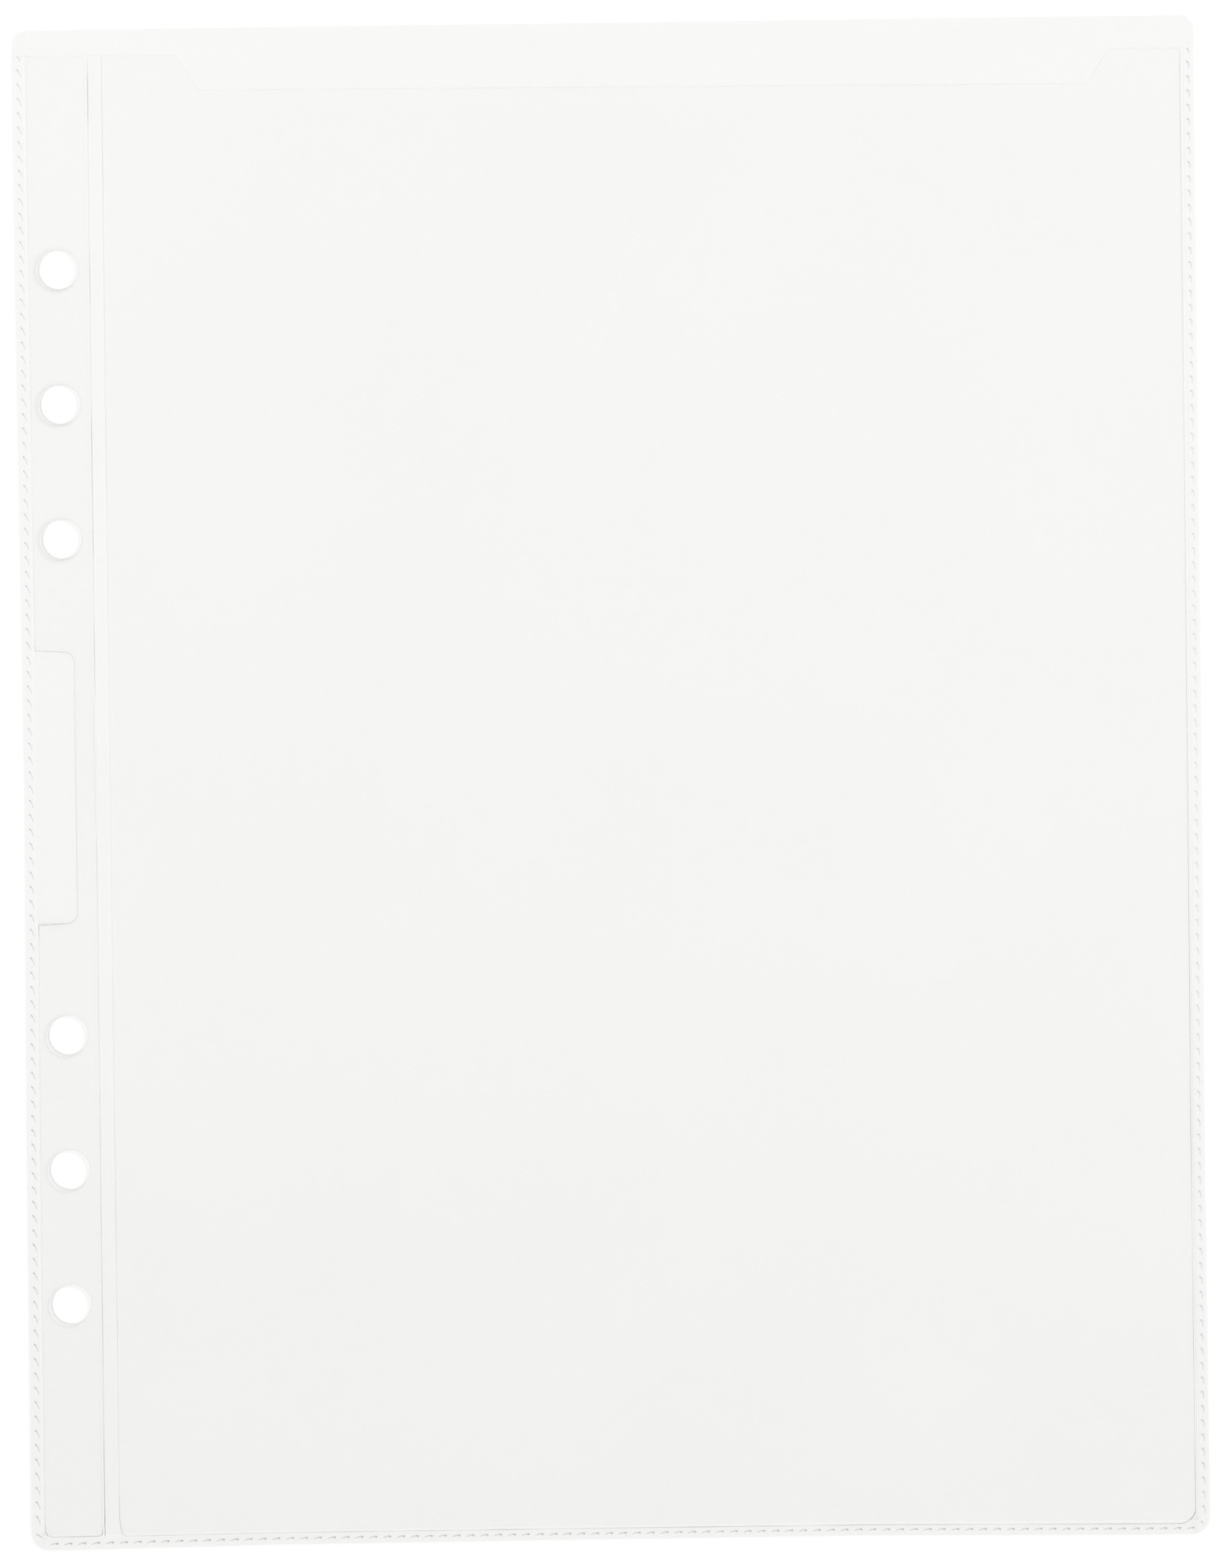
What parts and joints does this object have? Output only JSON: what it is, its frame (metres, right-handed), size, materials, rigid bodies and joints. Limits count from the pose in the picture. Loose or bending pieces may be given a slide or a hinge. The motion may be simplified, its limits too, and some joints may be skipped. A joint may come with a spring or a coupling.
{
  "type": "punched clear envelope",
  "caption": "Flat clear plastic envelope for a six-ring binder: welded edges, hinged ring margin, and a pocket with a thumb notch at its open top.",
  "frame": {"origin": "middle of the page, on the outer face of the back film", "axes": "+X from the ring margin across the page, +Y up the page to the open mouth, +Z through the page towards the front film"},
  "size_m": [0.1662, 0.214, 0.0007],
  "materials": {
    "clear_film": "clear soft film, smooth and glossy, very faintly grey",
    "fused_film": "two films fused by a heated tool, with a fine stitch pattern pressed in"
  },
  "bodies": {
    "pocket": {"pocket_crease_web": "fused_film", "back_film_pocket": "clear_film", "bottom_weld_pocket": "fused_film", "right_edge_weld": "fused_film", "front_film_border": "clear_film"},
    "pocket_front": {"front_film_panel": "clear_film"},
    "binding_bar": {"binding_weld_bar": "fused_film"},
    "margin": {"back_film_margin": "clear_film", "front_film_margin": "clear_film", "left_edge_weld": "fused_film", "bottom_weld_margin": "fused_film", "label_panel_weld": "fused_film", "margin_crease_web": "fused_film"}
  },
  "joints": [
    {"name": "pocket_crease_fold", "type": "hinge", "parent": "pocket", "child": "binding_bar", "pos_m": [-0.07065, 0, 0.00035], "axis": [0, 1, 0], "range_deg": [-90, 90], "deforming": ["pocket_crease_web"]},
    {"name": "margin_crease_fold", "type": "hinge", "parent": "binding_bar", "child": "margin", "pos_m": [-0.07265, 0, 0.00035], "axis": [0, 1, 0], "range_deg": [-90, 90], "deforming": ["margin_crease_web"]},
    {"name": "mouth_opening", "type": "hinge", "parent": "pocket", "child": "pocket_front", "pos_m": [0, -0.1051, 0.0007], "axis": [1, 0, 0], "range_deg": [0, 4]}
  ]
}
